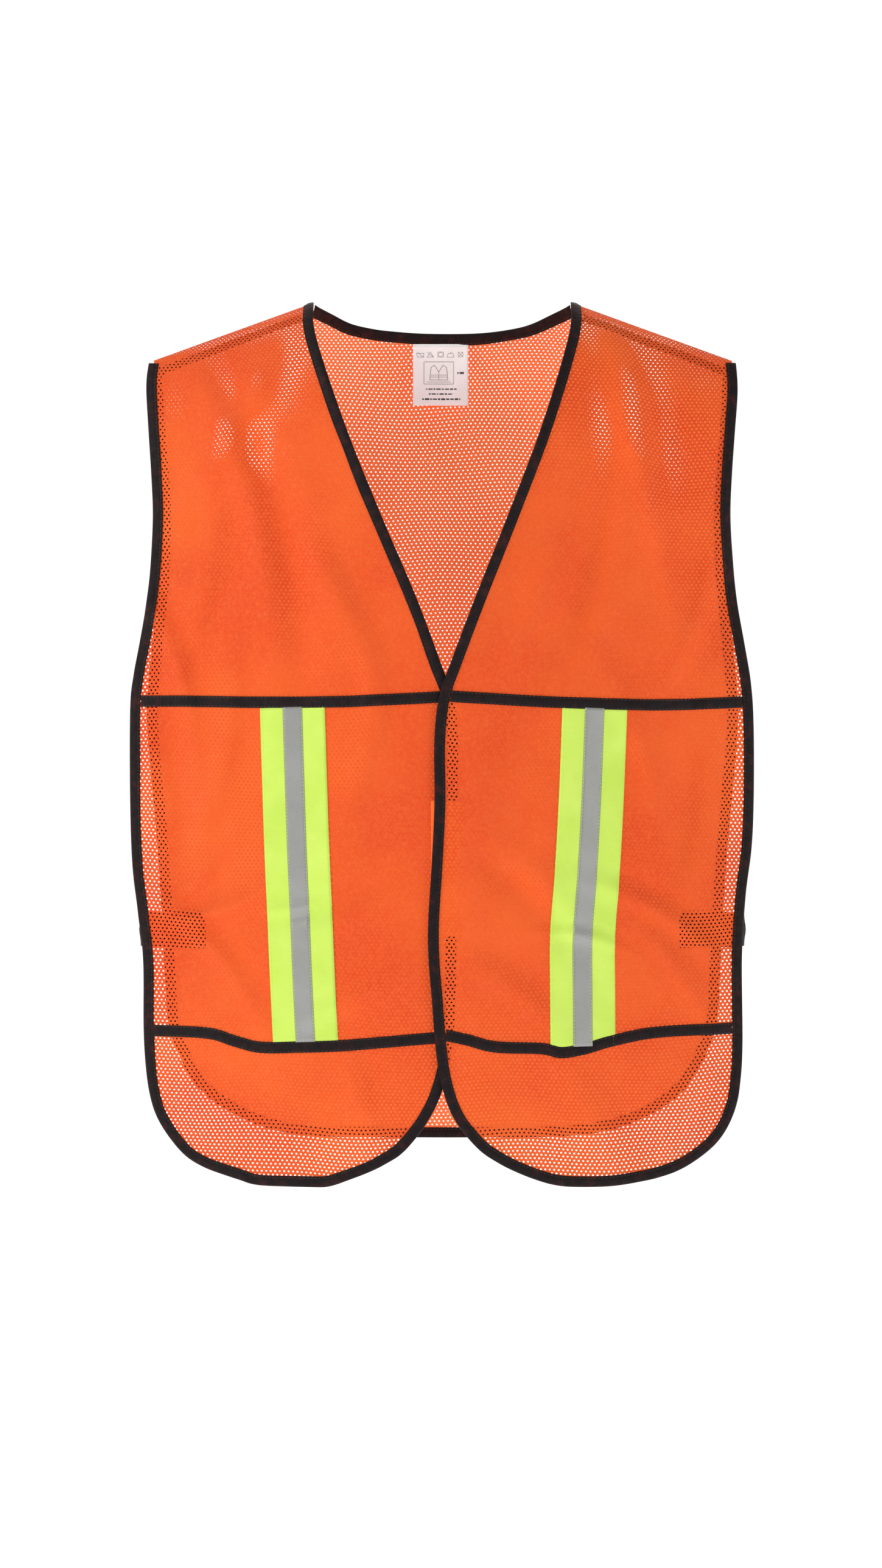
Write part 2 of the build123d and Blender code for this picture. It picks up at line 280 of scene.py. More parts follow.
def evenLine(line, step=0.002, count=None):
    gaps = np.linalg.norm(np.diff(line, axis=0), axis=1)
    run = np.concatenate([[0], np.cumsum(gaps)])
    count = count or max(2, int(round(run[-1] / step)) + 1)
    at = np.linspace(0, run[-1], count)
    return np.stack([np.interp(at, run, line[:, k]) for k in range(line.shape[1])], axis=-1), at


# making meshes

fold = {"top": (0.084, 0.622), "foot": (0.236, 0.165), "before": 0.022, "after": 0.055}


def hangOn(piece, side):
    # the back is attached to the shoulders; a front's piece only has its place baked in, and the ends of its
    # fold line are worked out but not used
    if side == "back":
        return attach(piece, "root")
    sign = 1 if side == "right" else -1
    top, foot = Vector(fold["top"]), Vector(fold["foot"])
    along = (foot - top).normalized()
    across = Vector((along.y, -along.x))  # towards the closure
    middle = (top + foot) / 2
    ends = [middle - across * fold["before"], middle + across * fold["after"]]
    start, end = [(sign * p.x, 0, p.y + hemLevel) for p in ends]
    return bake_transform(piece)


def makePiece(name, points, faces, material, side=None, uv=None, smooth=True):
    mesh = bpy.data.meshes.new(name)
    mesh.from_pydata(np.asarray(points).tolist(), [], faces if isinstance(faces, list) else faces.tolist())
    if uv is not None:
        layer = mesh.uv_layers.new(name="UVMap")
        corner = np.zeros(len(mesh.loops), dtype=np.int64)
        mesh.loops.foreach_get("vertex_index", corner)
        layer.data.foreach_set("uv", np.asarray(uv, np.float32)[corner].ravel())
    piece = bpy.data.objects.new(name, mesh)
    bpy.context.scene.collection.objects.link(piece)
    piece.data.materials.append(material)
    mesh.polygons.foreach_set("use_smooth", [smooth] * len(mesh.polygons))
    mesh.update()
    if side:
        hangOn(piece, side)
    return piece


def ribbonMesh(rows):
    # rows of equal closed sections joined into a tube and capped at both ends
    count, ring = rows.shape[:2]
    i = np.arange(count - 1)[:, None] * ring
    j = np.arange(ring)[None, :]
    k = (j + 1) % ring
    faces = np.stack([i + j, i + k, i + ring + k, i + ring + j], axis=-1).reshape(-1, 4)
    points = rows.reshape(-1, 3)
    volume = 0.0
    for a, b, c in ((0, 1, 2), (0, 2, 3)):
        pa, pb, pc = points[faces[:, a]], points[faces[:, b]], points[faces[:, c]]
        volume += np.einsum("ij,ij->i", pa - points[0], np.cross(pb - points[0], pc - points[0])).sum()
    listed = faces.tolist()
    listed.append(list(range(ring))[::-1])
    listed.append([(count - 1) * ring + n for n in range(ring)])
    if volume < 0:
        listed = [f[::-1] for f in listed]
    return points, listed


def ribbon(name, side, path, section, material, step=0.0025, wobble=0.0, seed=0):
    # sweeps a closed section of (across, off the mesh) along a path of (x, height)
    line, run = evenLine(np.asarray(path, float), step)
    ahead = np.gradient(line, axis=0)
    ahead /= np.linalg.norm(ahead, axis=1)[:, None]
    across = np.stack([ahead[:, 1], -ahead[:, 0]], axis=-1)  # to the right of the way along
    section = np.asarray(section, float)
    shift = np.array([wobble * noise.noise(Vector((r * 28, seed, 0))) for r in run])
    # an edge well to the right of the way along wanders
    reach = section[None, :, 0] + shift[:, None] * (section[None, :, 0] > 0.003)
    x = line[:, None, 0] + across[:, None, 0] * reach
    height = line[:, None, 1] + across[:, None, 1] * reach
    off = np.broadcast_to(section[None, :, 1], x.shape)
    rows = onCloth(side, x, height, off)
    points, faces = ribbonMesh(rows)
    girth = np.concatenate([[0], np.cumsum(np.linalg.norm(np.diff(section, axis=0), axis=1))])
    uv = np.stack(np.broadcast_arrays(girth[None, :], run[:, None]), axis=-1).reshape(-1, 2)
    return makePiece(name, points, faces, material, side, uv=uv)


def stitchRow(name, side, rows, material, pitch=0.003, long=0.0021, wide=0.00032, high=0.00028):
    # short lens-shaped stitches along lines of (x, height), at an offset from the mesh
    points, faces = [], []
    for path, inset, off in rows:
        line, run = evenLine(np.asarray(path, float), 0.0015)
        ahead = np.gradient(line, axis=0)
        ahead /= np.linalg.norm(ahead, axis=1)[:, None]
        across = np.stack([ahead[:, 1], -ahead[:, 0]], axis=-1)
        line = line + across * inset
        centres = np.arange(pitch / 2, run[-1] - pitch / 2, pitch)
        for c in centres:
            ring = []
            for t, full in ((-0.5, False), (-0.3, True), (0.3, True), (0.5, False)):
                at = c + t * long
                px, pz = np.interp(at, run, line[:, 0]), np.interp(at, run, line[:, 1])
                ax, az = np.interp(at, run, across[:, 0]), np.interp(at, run, across[:, 1])
                if full:
                    ring.append([
                        (px + ax * wide, pz + az * wide, off),
                        (px, pz, off + high),
                        (px - ax * wide, pz - az * wide, off),
                    ])
                else:
                    ring.append([(px, pz, off)])
            base = len(points)
            for part in ring:
                points.extend(part)
            faces += [
                [base, base + 2, base + 1],
                [base, base + 3, base + 2],
                [base + 1, base + 2, base + 5, base + 4],
                [base + 2, base + 3, base + 6, base + 5],
                [base + 4, base + 5, base + 7],
                [base + 5, base + 6, base + 7],
            ]
    flat = np.array(points)
    placed = onCloth(side, flat[:, 0], flat[:, 1], flat[:, 2])
    if side == "back":
        faces = [f[::-1] for f in faces]
    return makePiece(name, placed, faces, material, side, uv=flat[:, :2])


# finishes

class Value:  # a shader socket that takes part in sums
    def __init__(self, finish, socket):
        self.finish, self.socket = finish, socket

    def sum(self, operation, first, second):
        return self.finish.node("ShaderNodeMath", {"operation": operation}, {0: first, 1: second})

    def __add__(self, other):
        return self.sum("ADD", self, other)

    def __sub__(self, other):
        return self.sum("SUBTRACT", self, other)

    def __rsub__(self, other):
        return self.sum("SUBTRACT", other, self)

    def __mul__(self, other):
        return self.sum("MULTIPLY", self, other)

    __radd__, __rmul__ = __add__, __mul__


class Finish:  # one material: fixed values go on its shader, and nodes are added by one method
    def __init__(self, name, **fixed):
        self.material = bpy.data.materials.new(name)
        self.material.use_nodes = True
        self.tree = self.material.node_tree
        self.shader = self.tree.nodes["Principled BSDF"]
        for socket, value in fixed.items():
            self.shader.inputs[socket.replace("_", " ")].default_value = value

    def node(self, kind, settings=None, values=None, out=0):
        made = self.tree.nodes.new(kind)
        for key, value in (settings or {}).items():
            setattr(made, key, value)
        for key, value in (values or {}).items():
            if isinstance(value, Value):
                self.tree.links.new(value.socket, made.inputs[key])
            else:
                made.inputs[key].default_value = value
        return Value(self, made.outputs[out])

    def set(self, socket, value):
        self.tree.links.new(value.socket, self.shader.inputs[socket])

    def place(self, kind="Object"):
        return self.node("ShaderNodeTexCoord", out=kind)

    def speckle(self, scale, kind="Object", detail=3.0, rough=0.55):
        values = {"Vector": self.place(kind), "Scale": scale, "Detail": detail, "Roughness": rough}
        return self.node("ShaderNodeTexNoise", {}, values)

    def ribs(self, scale, direction, kind="UV", bend=0.0):
        values = {"Vector": self.place(kind), "Scale": scale, "Distortion": bend, "Detail": 1.0}
        return self.node("ShaderNodeTexWave", {"bands_direction": direction}, values, out="Fac")

    def mix(self, share, first, second):
        values = {"Factor": share, 6: first, 7: second}
        return self.node("ShaderNodeMix", {"data_type": "RGBA"}, values, out=2)

    def remap(self, value, low, high, least=0.0, most=1.0):
        values = {"Value": value, "From Min": low, "From Max": high, "To Min": least, "To Max": most}
        return self.node("ShaderNodeMapRange", {}, values)

    def relief(self, height, strength, distance):
        values = {"Height": height, "Strength": strength, "Distance": distance}
        self.set("Normal", self.node("ShaderNodeBump", {}, values, out="Normal"))


def rgb(r, g, b):
    return (r, g, b, 1.0)


# Painted light: the back's paler colours and its stronger glow below stand in for light coming through the
# cloth from behind.
meshDyesAndPaintedLight = {  # the back hangs against the light, which glows through it
    "front": {
        "bright": rgb(0.94, 0.118, 0.011),
        "deep": rgb(0.82, 0.068, 0.006),
        "flecksAndPaintedLight": rgb(0.97, 0.158, 0.024),
    },
    "back": {
        "bright": rgb(1.0, 0.215, 0.052),
        "deep": rgb(0.95, 0.150, 0.034),
        "flecksAndPaintedLight": rgb(1.0, 0.270, 0.080),
    },
}
meshPaintedGlow = {"front": 0.05, "back": 0.19}


def meshFinish(name, cut):
    tonesAndPaintedLight = meshDyesAndPaintedLight[cut]
    # Painted glow: the emission lights the mesh though it is no lamp; on the front it stands in for the
    # dye's fluorescence, on the back for light coming through.
    f = Finish(name, Roughness=0.68, Sheen_Weight=0.06, Sheen_Roughness=0.4, Emission_Strength=meshPaintedGlow[cut])
    f.shader.inputs["Specular IOR Level"].default_value = 0.3
    f.shader.inputs["Sheen Tint"].default_value = rgb(1.0, 0.55, 0.40)
    f.shader.inputs["Emission Color"].default_value = tonesAndPaintedLight["flecksAndPaintedLight"]
    broad = f.remap(f.speckle(9.0), 0.38, 0.66)
    fine = f.remap(f.speckle(420.0), 0.42, 0.72, 0.0, 0.55)
    f.set("Base Color", f.mix(fine, f.mix(broad, tonesAndPaintedLight["deep"], tonesAndPaintedLight["bright"]), tonesAndPaintedLight["flecksAndPaintedLight"]))
    yarn = f.ribs(2100.0, "DIAGONAL", bend=2.0) * 0.6 + f.speckle(3000.0) * 0.5
    f.relief(yarn, 0.5, 0.0002)
    f.set("Roughness", f.remap(f.speckle(60.0), 0.3, 0.7, 0.58, 0.76))
    return f.material


def darkTapeFinish(name, paintedSheenShare):
    f = Finish(name, Roughness=0.6, Sheen_Weight=0.10, Sheen_Roughness=0.45)
    f.shader.inputs["Sheen Tint"].default_value = rgb(0.9, 0.40, 0.34)
    f.shader.inputs["Specular IOR Level"].default_value = 0.18
    # Painted sheen: random patches are mixed towards a reddish tone, standing in for the tape's reddish
    # sheen of light.
    flecksAndPaintedLight = f.remap(f.speckle(130.0), 0.50, 0.72, 0.0, paintedSheenShare)
    weave = f.ribs(520.0, "Y") * f.ribs(640.0, "X")
    shade = f.mix(weave * 0.6, rgb(0.0060, 0.0032, 0.0040), rgb(0.018, 0.0080, 0.0085))
    f.set("Base Color", f.mix(flecksAndPaintedLight, shade, rgb(0.060, 0.010, 0.009)))
    f.relief(weave + f.speckle(1800.0) * 0.5, 0.55, 0.00018)
    f.set("Roughness", f.remap(f.speckle(200.0), 0.3, 0.7, 0.48, 0.75))
    return f.material


def limeFinish():
    # Painted glow: the emission makes the lime tape glow though it is no lamp.
    f = Finish("limeTape", Roughness=0.5, Sheen_Weight=0.1, Emission_Strength=0.07)
    f.shader.inputs["Emission Color"].default_value = rgb(0.55, 0.95, 0.08)
    weave = f.ribs(340.0, "Y") * 0.65 + f.ribs(640.0, "X") * 0.35
    broad = f.remap(f.speckle(26.0), 0.35, 0.7)
    tint = f.mix(broad, rgb(0.58, 0.80, 0.085), rgb(0.68, 0.88, 0.13))
    f.set("Base Color", f.mix(weave * 0.32, tint, rgb(0.46, 0.68, 0.060)))
    f.relief(weave + f.speckle(2600.0) * 0.3, 0.6, 0.00016)
    f.set("Roughness", f.remap(f.speckle(90.0), 0.3, 0.7, 0.42, 0.62))
    return f.material


def silverFinish():
    f = Finish("silverStrip", Metallic=0.25, Roughness=0.42)
    grain = f.speckle(5200.0, detail=2.0)
    cloud = f.remap(f.speckle(34.0), 0.3, 0.7)
    tone = f.mix(cloud, rgb(0.25, 0.25, 0.24), rgb(0.33, 0.33, 0.315))
    f.set("Base Color", f.mix(f.remap(grain, 0.4, 0.65), tone, rgb(0.42, 0.42, 0.40)))
    f.relief(grain + f.ribs(640.0, "Y") * 0.3, 0.35, 0.00008)
    f.set("Roughness", f.remap(grain, 0.3, 0.7, 0.34, 0.55))
    return f.material


def pileFinish(name, lively):
    # Painted light: the emission brightens the pile strips, which lie in shade under the front mesh.
    f = Finish(name, Roughness=0.85, Sheen_Weight=0.2, Emission_Strength=0.30)
    f.shader.inputs["Emission Color"].default_value = rgb(1.0, 0.14, 0.01)
    pile = f.speckle(2400.0 if lively else 1500.0, detail=5.0, rough=0.7)
    rows = f.ribs(420.0, "Y", bend=1.2)
    tone = f.mix(f.remap(pile, 0.35, 0.7), rgb(0.95, 0.11, 0.004), rgb(1.0, 0.19, 0.012))
    f.set("Base Color", f.mix(rows * 0.25, tone, rgb(0.78, 0.09, 0.008)))
    f.relief(pile + rows * 0.6, 0.9, 0.0004)
    return f.material


def elasticFinish():
    f = Finish("blackElastic", Roughness=0.75, Sheen_Weight=0.03)
    f.shader.inputs["Specular IOR Level"].default_value = 0.15
    cords = f.ribs(165.0, "X")
    picks = f.ribs(520.0, "Y", bend=0.6)
    shade = f.mix(cords * 0.5 + picks * 0.3, rgb(0.004, 0.004, 0.005), rgb(0.016, 0.014, 0.016))
    f.set("Base Color", shade)
    f.relief(cords * 0.8 + picks * 0.5, 0.8, 0.0003)
    f.set("Roughness", f.remap(f.speckle(300.0), 0.3, 0.7, 0.55, 0.8))
    return f.material


def satinFinish():
    # Painted light: the white emission brightens the label where it hangs in shade inside the neck.
    f = Finish("labelSatin", Roughness=0.38, Sheen_Weight=0.2, Emission_Strength=0.16)
    f.shader.inputs["Emission Color"].default_value = rgb(1, 1, 1)
    threads = f.ribs(900.0, "Y", "Object") * 0.5 + f.speckle(2600.0) * 0.5
    broad = f.remap(f.speckle(50.0), 0.3, 0.7)
    f.set("Base Color", f.mix(broad, rgb(0.84, 0.83, 0.82), rgb(0.93, 0.93, 0.92)))
    f.relief(threads, 0.25, 0.00006)
    f.set("Roughness", f.remap(threads, 0.2, 0.8, 0.30, 0.48))
    return f.material


def threadFinish(name, dark, light):
    f = Finish(name, Roughness=0.55, Sheen_Weight=0.3)
    f.set("Base Color", f.mix(f.remap(f.speckle(900.0), 0.35, 0.65), dark, light))
    f.relief(f.speckle(4200.0), 0.4, 0.0001)
    return f.material


def inkFinish():
    f = Finish("labelInk", Roughness=0.55)
    faded = f.remap(f.speckle(1400.0), 0.35, 0.7)
    f.set("Base Color", f.mix(faded, rgb(0.035, 0.035, 0.04), rgb(0.13, 0.13, 0.14)))
    return f.material


finishes = {
    "frontMesh": meshFinish("orangeFrontMesh", "front"),
    "backMesh": meshFinish("orangeBackMesh", "back"),
    "binding": darkTapeFinish("darkBinding", 0.55),
    "crossTape": darkTapeFinish("darkCrossTape", 0.30),
    "seamTape": darkTapeFinish("darkSeamTape", 0.40),
    "lime": limeFinish(),
    "silver": silverFinish(),
    "hooks": pileFinish("hookPile", False),
    "loops": pileFinish("loopPile", True),
    "elastic": elasticFinish(),
    "satin": satinFinish(),
    "ink": inkFinish(),
    "darkThread": threadFinish("darkThread", rgb(0.010, 0.008, 0.008), rgb(0.060, 0.030, 0.026)),
    "limeThread": threadFinish("limeThread", rgb(0.50, 0.86, 0.02), rgb(0.72, 1.0, 0.10)),
    "whiteThread": threadFinish("whiteThread", rgb(0.70, 0.70, 0.68), rgb(0.88, 0.88, 0.86)),
}
print("finishes made:", len(finishes))


# camera, light and floor

view = {"distance": 3.0, "plane": -0.060, "x": -0.0012, "height": 0.3127, "tall": 1.226}


def makeCamera():
    camera = bpy.data.cameras.new("camera")
    camera.sensor_width = 36.0
    camera.lens = 36.0 * view["distance"] / view["tall"]
    holder = bpy.data.objects.new("camera", camera)
    holder.location = (view["x"], view["plane"] - view["distance"], view["height"] + hemLevel)
    holder.rotation_euler = (math.pi / 2, 0, 0)
    bpy.context.scene.collection.objects.link(holder)
    bpy.context.scene.camera = holder


studio = {
    "keyLight": {"at": (-2.4, -1.1, 1.2), "size": 0.9, "power": 38},
    "fillLight": {"at": (2.1, -1.7, 0.2), "size": 1.4, "power": 12},
    "backLight": {"at": (0.3, 2.4, 1.2), "size": 2.4, "power": 12},
    "sky": 0.40,  # light from all round
    "backdrop": 1.05,
    "floorDrop": 0.55,
}


def makeStudio():
    target = Vector((0, 0, hemLevel / 2))
    for name in ("keyLight", "fillLight", "backLight"):
        lamp = studio[name]
        light = bpy.data.lights.new(name, "AREA")
        light.size, light.energy = lamp["size"], lamp["power"]
        holder = bpy.data.objects.new(name, light)
        holder.location = lamp["at"]
        holder.rotation_euler = (target - Vector(lamp["at"])).to_track_quat("-Z", "Y").to_euler()
        bpy.context.scene.collection.objects.link(holder)
    world = bpy.data.worlds.new("studio")
    bpy.context.scene.world = world
    world.use_nodes = True
    nodes, links = world.node_tree.nodes, world.node_tree.links
    sky = nodes["Background"]
    sky.inputs["Color"].default_value = rgb(1, 1, 1)
    seen = nodes.new("ShaderNodeLightPath")
    strength = nodes.new("ShaderNodeMapRange")
    strength.inputs["To Min"].default_value = studio["sky"]
    strength.inputs["To Max"].default_value = studio["backdrop"]
    links.new(seen.outputs["Is Camera Ray"], strength.inputs["Value"])
    links.new(strength.outputs["Result"], sky.inputs["Strength"])
    bpy.ops.object.select_all(action="DESELECT")
    bpy.ops.mesh.primitive_plane_add(size=14, location=(0, 0, hemLevel - studio["floorDrop"]))
    floor = bpy.context.object
    floor.name = "floor"
    pale = Finish("paleFloor", Roughness=0.9, Emission_Strength=0.75)
    pale.shader.inputs["Emission Color"].default_value = rgb(1, 1, 1)
    pale.set("Base Color", pale.mix(pale.speckle(3.0), rgb(0.90, 0.90, 0.90), rgb(0.93, 0.93, 0.93)))
    floor.data.materials.append(pale.material)


makeCamera()
makeStudio()
bpy.context.scene.view_settings.view_transform = "Standard"
print("camera, light and floor made")


# cut shapes of the cloth: from the neck down the opening, round the hem and up the armhole

rightFrontEdge = [
    (0.1020, 0.6955), (0.0990, 0.664), (0.0775, 0.592), (0.0520, 0.524), (0.0255, 0.457),
    (0.0085, 0.412), (-0.0025, 0.380), (-0.0062, 0.345), (-0.0060, 0.300), (-0.0080, 0.255),
    (-0.0110, 0.205), (-0.0105, 0.175), (-0.0080, 0.145), (-0.0055, 0.112), (-0.0010, 0.082),
    (0.0085, 0.055), (0.0265, 0.032), (0.0420, 0.0205), (0.0560, 0.0130), (0.0710, 0.0068),
    (0.0860, 0.0022), (0.1020, 0.0002), (0.1300, 0.0000), (0.1570, 0.0030), (0.1720, 0.0060),
    (0.1860, 0.0105), (0.2000, 0.0180), (0.2145, 0.029), (0.2245, 0.042), (0.2315, 0.058),
    (0.2350, 0.076), (0.2370, 0.107), (0.2365, 0.174), (0.2395, 0.224), (0.2445, 0.262),
    (0.2462, 0.300), (0.2462, 0.358), (0.2440, 0.392), (0.2385, 0.424), (0.2325, 0.457),
    (0.2290, 0.490), (0.2270, 0.524), (0.2285, 0.558), (0.2312, 0.592), (0.2340, 0.624),
    (0.2335, 0.6480),
]
leftFrontEdge = [
    (-0.1025, 0.6953), (-0.0995, 0.664), (-0.0760, 0.592), (-0.0490, 0.524), (-0.0205, 0.457),
    (0.0000, 0.402), (0.0085, 0.378), (0.0115, 0.350), (0.0118, 0.300), (0.0110, 0.250),
    (0.0105, 0.200), (0.0100, 0.150), (0.0075, 0.112), (0.0000, 0.077), (-0.0115, 0.052),
    (-0.0295, 0.029), (-0.0440, 0.019), (-0.0580, 0.0120), (-0.0725, 0.0062), (-0.0880, 0.0008),
    (-0.1040, 0.0000), (-0.1430, 0.0004), (-0.1580, 0.0038), (-0.1725, 0.0078), (-0.1870, 0.0126),
    (-0.2020, 0.021), (-0.2160, 0.036), (-0.2260, 0.052), (-0.2315, 0.070), (-0.2345, 0.092),
    (-0.2360, 0.120), (-0.2365, 0.174), (-0.2410, 0.213), (-0.2455, 0.250), (-0.2472, 0.300),
    (-0.2472, 0.372), (-0.2445, 0.398), (-0.2395, 0.424), (-0.2335, 0.457), (-0.2300, 0.490),
    (-0.2285, 0.524), (-0.2300, 0.558), (-0.2325, 0.592), (-0.2350, 0.628), (-0.2338, 0.6478),
]
backSide = [
    (0.2335, 0.6480), (0.2310, 0.592), (0.2275, 0.540), (0.2280, 0.490), (0.2330, 0.430),
    (0.2375, 0.372), (0.2345, 0.320), (0.2310, 0.283), (0.2265, 0.220), (0.2235, 0.160),
    (0.2210, 0.120), (0.2130, 0.096), (0.2040, 0.077), (0.1900, 0.060), (0.1720, 0.047),
    (0.1500, 0.036), (0.1250, 0.029), (0.0950, 0.0255), (0.0600, 0.0245), (0.0000, 0.0240),
]
collarEdge = [
    (-0.1020, 0.6955), (-0.0890, 0.6905), (-0.0748, 0.6845), (-0.0600, 0.6815), (-0.0450, 0.6797),
    (-0.0150, 0.6780), (0.0280, 0.6780), (0.0580, 0.6810), (0.0730, 0.6845), (0.0870, 0.6900),
    (0.1020, 0.6955),
]
edges = {
    "right": smoothLine(rightFrontEdge),
    "left": smoothLine(leftFrontEdge),
    "back": smoothLine(backSide + [(-x, h) for x, h in backSide[-2::-1]]),
    "collar": smoothLine(collarEdge),
}


# mesh cloth: a hexagonal net of yarn round real holes

net = {
    "pitch": 0.0035,  # from hole to hole along a row
    "row": 0.00273,  # from row to row
    "holeWide": 0.213,  # a hole's half sizes as shares of those
    "holeTall": 0.299,
    "tighter": 0.93,  # the back's holes are this much smaller
    "holeSide": 0.124,
    "behind": (0.00175, 0.0008),  # the back's holes lie between those of the fronts
    "unevenness": 0.06,
    "margin": 0.0026,
    "off": 0.00035,
}
# the back's rows line up with the fronts' when seen from the camera's place
eye = {"x": view["x"], "height": view["height"], "far": view["distance"] - view["plane"]}


def insideOf(outline, x, height):
    inside = np.zeros(x.shape, bool)
    ax, ah = outline[:, 0], outline[:, 1]
    bx, bh = np.roll(ax, -1), np.roll(ah, -1)
    for i in range(len(ax)):
        if ah[i] == bh[i]:
            continue
        crosses = (ah[i] > height) != (bh[i] > height)
        inside ^= crosses & (x < (bx[i] - ax[i]) * (height - ah[i]) / (bh[i] - ah[i]) + ax[i])
    return inside


def nearTo(line, x, height, reach):
    near = np.zeros(x.shape, bool)
    for px, ph in evenLine(line, 0.0012)[0]:
        near |= (x - px) ** 2 + (height - ph) ** 2 < reach**2
    return near


def pullNet(x, run):
    # worn knit is never square: its rows wander
    wanderX = 0.0015 * np.sin(37 * run + 11 * x) + 0.0007 * np.sin(71 * run - 43 * x + 1.3)
    wanderRun = 0.0016 * np.sin(33 * x - 13 * run + 0.8) + 0.0007 * np.sin(67 * x + 39 * run + 2.1)
    return x + wanderX, run + wanderRun


def runTo(side, x, height):
    # distance along the cloth to a height, found by halving
    low, high = np.full_like(x, -0.1), alongCloth(side, x, np.zeros_like(x))[3]
    for _ in range(24):
        middle = (low + high) / 2
        under = alongCloth(side, x, middle)[0] < height
        low, high = np.where(under, middle, low), np.where(under, high, middle)
    return (low + high) / 2


def behindFront(x, run):
    # the place on the back that lies behind a place on the fronts
    height, angle, straight, most = alongCloth("left", x, run)
    near = depthAt("left", x) * np.where(straight, 1, np.cos(angle))
    sine = np.clip((height - ridgeAt(x)) / hang["backArch"] + 1, 0, 1)
    scale = (eye["far"] + depthAt("back", x) * np.sqrt(1 - sine**2)) / (eye["far"] - near)
    backX = eye["x"] + (x - eye["x"]) * scale
    backHeight = eye["height"] + (height - eye["height"]) * scale
    past = (run > most + net["row"] / 2) | (backHeight > ridgeAt(backX) + 0.001)
    return backX, np.where(past, 9.0, runTo("back", backX, backHeight))


def netCloth(names, side, outline, rims, material):
    pitch, row = net["pitch"], net["row"]
    shift = net["behind"] if side == "back" else (0.0, 0.0)
    reach = outline[:, 0].min() - 0.03, outline[:, 0].max() + 0.03
    columns = np.arange(int(reach[0] / pitch), int(reach[1] / pitch))
    levels = np.arange(int(-0.04 / row), int(0.90 / row))
    i, j = np.meshgrid(np.arange(len(columns)), np.arange(len(levels)))
    x, run = pullNet((columns[i] + 0.5 * (levels[j] % 2)) * pitch + shift[0], levels[j] * row + shift[1])
    if side == "back":
        x, run = behindFront(x, run)
    height, _, _, most = alongCloth(side, x, run)
    tall = np.where(run > most, ridgeAt(x) - 1e-5, height)
    keep = (run < most + row / 2) & insideOf(outline, x, tall)
    for rim in rims:
        keep &= ~nearTo(rim, x, tall, net["margin"])
    number = np.where(keep, np.cumsum(keep.ravel()).reshape(keep.shape) - 1, -1)
    x, run = x[keep], run[keep]
    size = net["tighter"] if side == "back" else 1.0
    wide = net["holeWide"] * pitch * size
    tip = net["holeTall"] * row * size
    flank = net["holeSide"] * row * size
    corners = [(0, tip), (wide, flank), (wide, -flank), (0, -tip), (-wide, -flank), (-wide, flank)]
    ease = 1 + net["unevenness"] * np.sin(x * 913.0 + run * 377.0) * np.sin(run * 1331.0 - x * 211.0)
    px = np.stack([x + cx * ease for cx, _ in corners], axis=-1).ravel()
    pr = np.stack([run + cr * ease for _, cr in corners], axis=-1).ravel()
    high, angle, straight, _ = alongCloth(side, px, pr)
    rise = foldAt(side, px, high) + net["off"]
    out = depthAt(side, px) + rise
    y = np.where(straight, out, out * np.cos(angle)) * (1 if side == "back" else -1)
    spring = ridgeAt(px) - archOf(side)
    z = np.where(straight, high, spring + (archOf(side) + rise) * np.sin(angle)) + hemLevel
    points = np.stack([px, y, z], axis=-1)
    top, upRight, lowRight, low, lowLeft, upLeft = range(6)

    def neighbour(dj, shift):  # the cell one row up or down, half a pitch to the right or left
        found = np.full(number.shape, -1)
        for odd in (0, 1):
            move = (shift + 1) // 2 if odd else (shift - 1) // 2
            source = np.roll(np.roll(number, -dj, axis=0), -move, axis=1)
            rows = (levels % 2) == odd
            found[rows] = source[rows]
        return found

    right = np.roll(number, -1, axis=1)
    upperRight = neighbour(1, 1)
    upperLeft = neighbour(1, -1)

    def joined(*parts):  # faces between the given corners of neighbouring cells
        good = np.ones(number.shape, bool)
        for cells, _ in parts:
            good &= cells >= 0
        return np.stack([cells[good] * 6 + corner for cells, corner in parts], axis=-1)

    quads = np.vstack([
        joined((number, lowRight), (right, lowLeft), (right, upLeft), (number, upRight)),
        joined((number, upRight), (upperRight, low), (upperRight, lowLeft), (number, top)),
        joined((number, top), (upperLeft, lowRight), (upperLeft, low), (number, upLeft)),
    ])
    tris = np.vstack([
        joined((number, upRight), (right, upLeft), (upperRight, low)),
        joined((number, top), (upperRight, lowLeft), (upperLeft, lowRight)),
    ])
    if side == "back":
        quads, tris = quads[:, ::-1], tris[:, ::-1]
    pieces = []
    for k, name in enumerate(names):  # the back is too large for one piece and is parted at its middle
        mine = [quads, tris]
        if len(names) > 1:
            mine = [f[(px[f[:, 0]] >= 0) == (k == 0)] for f in mine]
        used = np.unique(np.concatenate([f.ravel() for f in mine]))
        fresh = np.zeros(len(px), int)
        fresh[used] = np.arange(len(used))
        faces = fresh[mine[0]].tolist() + fresh[mine[1]].tolist()
        uv = np.stack([px, pr], axis=-1)[used]
        pieces.append(makePiece(name, points[used], faces, material, side, uv=uv))
        print(name, "triangles", 2 * len(mine[0]) + len(mine[1]))
    return pieces


above = 0.80  # the outlines are closed well over the shoulders, where the cloth itself ends
neckX, tipX = 0.1020, 0.2335
frontOutline = {
    "right": np.vstack([[(neckX, above)], edges["right"], [(tipX, above)]]),
    "left": np.vstack([[(-neckX, above)], edges["left"], [(-tipX, above)]]),
}
backOutline = np.vstack([
    [(tipX, above)], edges["back"], [(-tipX, above)],
    [(-neckX, above)], edges["collar"], [(neckX, above)],
])

